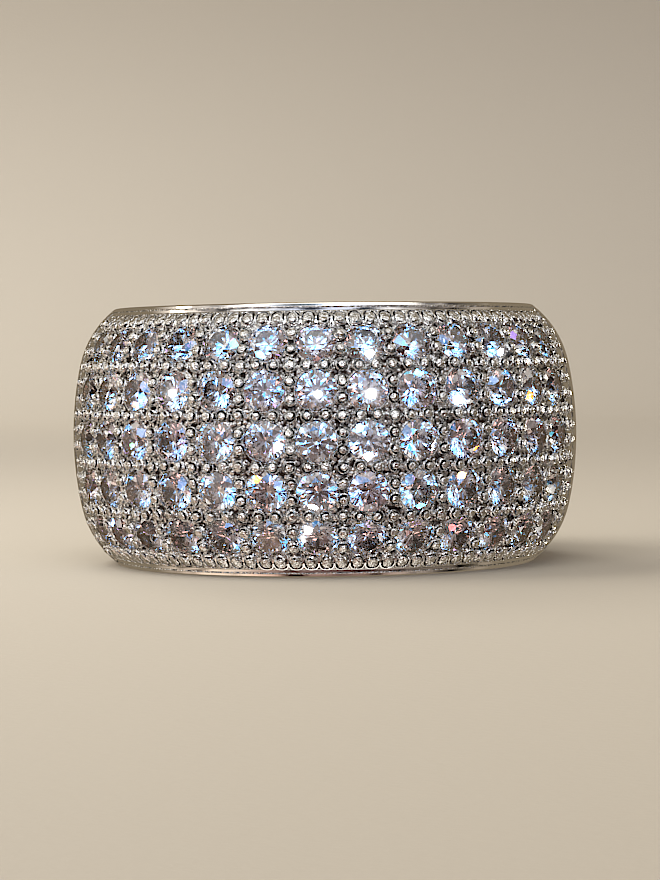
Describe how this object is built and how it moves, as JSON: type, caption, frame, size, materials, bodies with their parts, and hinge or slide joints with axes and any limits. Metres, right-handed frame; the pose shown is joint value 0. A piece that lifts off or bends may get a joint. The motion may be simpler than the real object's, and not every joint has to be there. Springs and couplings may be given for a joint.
{
  "type": "pave ring",
  "caption": "Wide domed band ring, its front paved with rows of round clear stones between raised rails and its back plain.",
  "frame": {"origin": "centre of the rim that the ring lies on, on the finger hole's axis", "axes": "+Z along the finger hole's axis, up from the rim that the ring lies on; -Y towards the viewer, through the middle of the paved front; +X to the right"},
  "size_m": [0.0224, 0.0224, 0.0113],
  "materials": {
    "white_metal": "polished rhodium plating",
    "clear_stone": "cut and polished"
  },
  "bodies": {
    "root": {"band": "white_metal", "stones": "clear_stone"}
  },
  "joints": []
}
